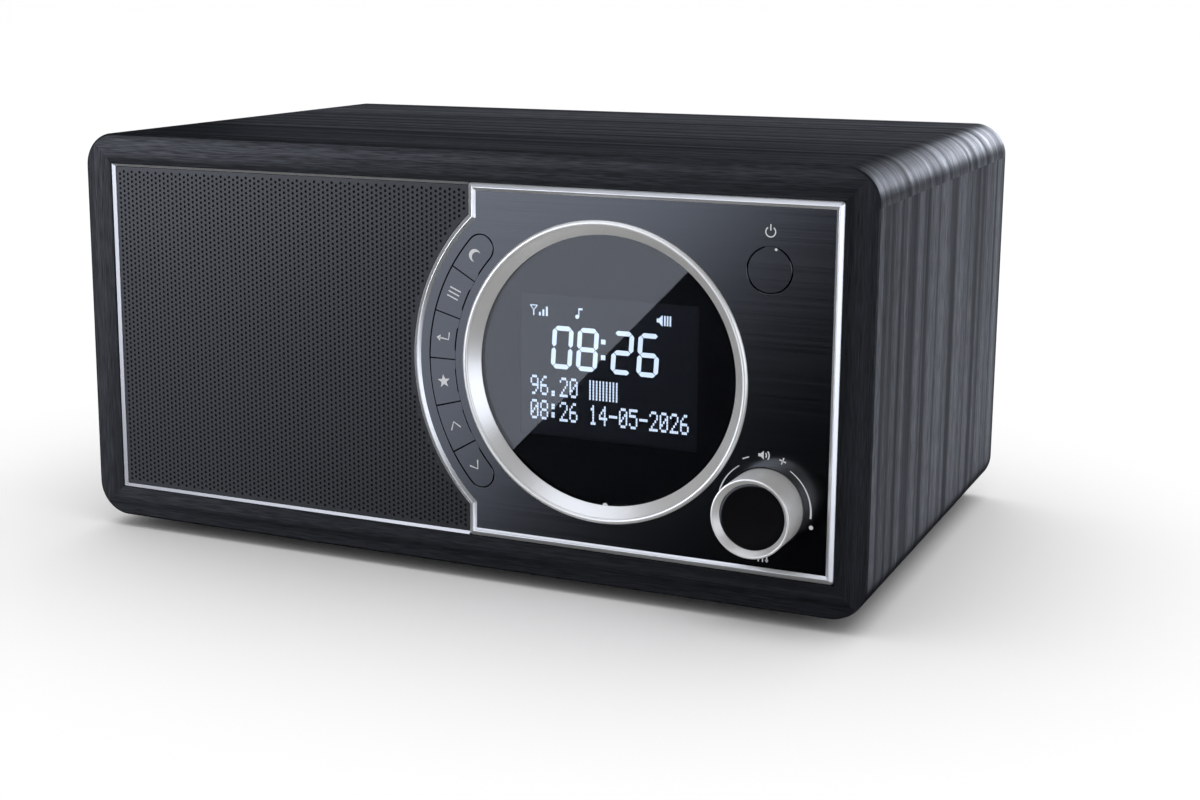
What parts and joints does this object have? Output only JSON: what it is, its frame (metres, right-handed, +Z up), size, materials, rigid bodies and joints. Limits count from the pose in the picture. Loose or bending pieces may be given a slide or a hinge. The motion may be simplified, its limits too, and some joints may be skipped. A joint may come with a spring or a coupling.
{
  "type": "tabletop radio",
  "caption": "Box-shaped tabletop radio with a black wood-grain cabinet, perforated grille, round display in a silver ring, curved keys, a push-and-turn knob and a folding telescopic antenna.",
  "frame": {"origin": "on the surface that the feet stand on, under the middle of the whole radio's box, knob and folded antenna included", "axes": "+X to the right seen from the front, +Y from the front to the back, +Z up"},
  "size_m": [0.234, 0.163, 0.117],
  "materials": {
    "black_wood": "black wood-grain wrap, satin",
    "silver_trim": "satin silver",
    "brushed_panel": "dark, brushed left to right",
    "grille_steel": "dark grey perforated sheet",
    "black_plastic": "fine matt texture",
    "gloss_black": "polished black",
    "smoked_glass": "polished smoked window",
    "lcd_cell": "dark negative display cell",
    "light_guide": "diffuse white",
    "circuit_board": "green solder mask",
    "zinc_steel": "zinc plated",
    "ferrite": "dull grey",
    "paper_cone": "pressed black paper",
    "batten_wood": "plain sawn",
    "foot_rubber": "matt",
    "antenna_chrome": "polished",
    "cable_sheath": "soft grey"
  },
  "bodies": {
    "radio": {"cabinet": "black_wood", "foot_front_left": "foot_rubber", "foot_front_right": "foot_rubber", "foot_rear_left": "foot_rubber", "foot_rear_right": "foot_rubber", "front_trim": "silver_trim", "speaker_grille": "grille_steel", "control_panel": "brushed_panel", "panel_bezel": "silver_trim", "front_baffle": "black_plastic", "display_ring": "silver_trim", "display_lens": "smoked_glass", "lcd_glass": "lcd_cell", "lcd_backlight": "light_guide", "switch_power": "black_plastic", "encoder_body": "zinc_steel", "control_board": "circuit_board", "speaker_basket": "zinc_steel", "speaker_cone": "paper_cone", "dust_cap": "paper_cone", "speaker_magnet": "ferrite", "main_board": "circuit_board", "board_bracket": "zinc_steel", "tuner_shield": "zinc_steel", "ribbon_cable": "cable_sheath", "speaker_lead": "cable_sheath", "rear_frame": "batten_wood", "rear_panel": "black_plastic", "dc_jack": "black_plastic", "aux_jack": "black_plastic", "headphone_jack": "black_plastic", "antenna_base": "black_plastic", "switch_sleep": "black_plastic", "switch_info": "black_plastic", "switch_enter": "black_plastic", "switch_preset": "black_plastic", "switch_up": "black_plastic", "switch_down": "black_plastic", "rear_screw_1": "zinc_steel", "rear_screw_2": "zinc_steel", "rear_screw_3": "zinc_steel", "rear_screw_4": "zinc_steel"},
    "sleep_key": {"key_sleep": "brushed_panel"},
    "info_key": {"key_info": "brushed_panel"},
    "enter_key": {"key_enter": "brushed_panel"},
    "preset_key": {"key_preset": "brushed_panel"},
    "up_key": {"key_up": "brushed_panel"},
    "down_key": {"key_down": "brushed_panel"},
    "power_key": {"power_button": "brushed_panel"},
    "knob_plunger": {"encoder_plunger": "black_plastic"},
    "knob": {"knob_body": "silver_trim", "knob_cap": "gloss_black", "encoder_shaft": "zinc_steel"},
    "antenna_yoke": {"antenna_swivel": "antenna_chrome"},
    "antenna_root": {"antenna_tube_1": "antenna_chrome"},
    "antenna_second": {"antenna_tube_2": "antenna_chrome"},
    "antenna_third": {"antenna_tube_3": "antenna_chrome"},
    "antenna_fourth": {"antenna_tube_4": "antenna_chrome"},
    "antenna_end": {"antenna_tip": "antenna_chrome"}
  },
  "joints": [
    {"name": "sleep_key_press", "type": "slide", "parent": "radio", "child": "sleep_key", "axis": [0, 1, 0], "range_m": [0, 0.0005], "stiffness_N_per_m": 2500},
    {"name": "info_key_press", "type": "slide", "parent": "radio", "child": "info_key", "axis": [0, 1, 0], "range_m": [0, 0.0005], "stiffness_N_per_m": 2500},
    {"name": "enter_key_press", "type": "slide", "parent": "radio", "child": "enter_key", "axis": [0, 1, 0], "range_m": [0, 0.0005], "stiffness_N_per_m": 2500},
    {"name": "preset_key_press", "type": "slide", "parent": "radio", "child": "preset_key", "axis": [0, 1, 0], "range_m": [0, 0.0005], "stiffness_N_per_m": 2500},
    {"name": "up_key_press", "type": "slide", "parent": "radio", "child": "up_key", "axis": [0, 1, 0], "range_m": [0, 0.0005], "stiffness_N_per_m": 2500},
    {"name": "down_key_press", "type": "slide", "parent": "radio", "child": "down_key", "axis": [0, 1, 0], "range_m": [0, 0.0005], "stiffness_N_per_m": 2500},
    {"name": "power_key_press", "type": "slide", "parent": "radio", "child": "power_key", "axis": [0, 1, 0], "range_m": [0, 0.0005], "stiffness_N_per_m": 2500},
    {"name": "knob_push", "type": "slide", "parent": "radio", "child": "knob_plunger", "axis": [0, 1, 0], "range_m": [0, 0.0005], "stiffness_N_per_m": 5000},
    {"name": "knob_turn", "type": "hinge", "parent": "knob_plunger", "child": "knob", "pos_m": [0.08975, -0.0815, 0.0302], "axis": [0, 1, 0], "continuous": true},
    {"name": "antenna_swing", "type": "hinge", "parent": "radio", "child": "antenna_yoke", "pos_m": [0.09435, 0.0756, 0.09435], "axis": [0, 1, 0], "range_deg": [0, 180]},
    {"name": "antenna_tilt", "type": "hinge", "parent": "antenna_yoke", "child": "antenna_root", "pos_m": [0.09435, 0.0786, 0.09435], "axis": [0, 0, -1], "range_deg": [0, 90]},
    {"name": "second_section_slide", "type": "slide", "parent": "antenna_root", "child": "antenna_second", "axis": [-1, 0, 0], "range_m": [0, 0.12]},
    {"name": "third_section_slide", "type": "slide", "parent": "antenna_second", "child": "antenna_third", "axis": [-1, 0, 0], "range_m": [0, 0.12]},
    {"name": "fourth_section_slide", "type": "slide", "parent": "antenna_third", "child": "antenna_fourth", "axis": [-1, 0, 0], "range_m": [0, 0.12]},
    {"name": "end_section_slide", "type": "slide", "parent": "antenna_fourth", "child": "antenna_end", "axis": [-1, 0, 0], "range_m": [0, 0.12]}
  ]
}
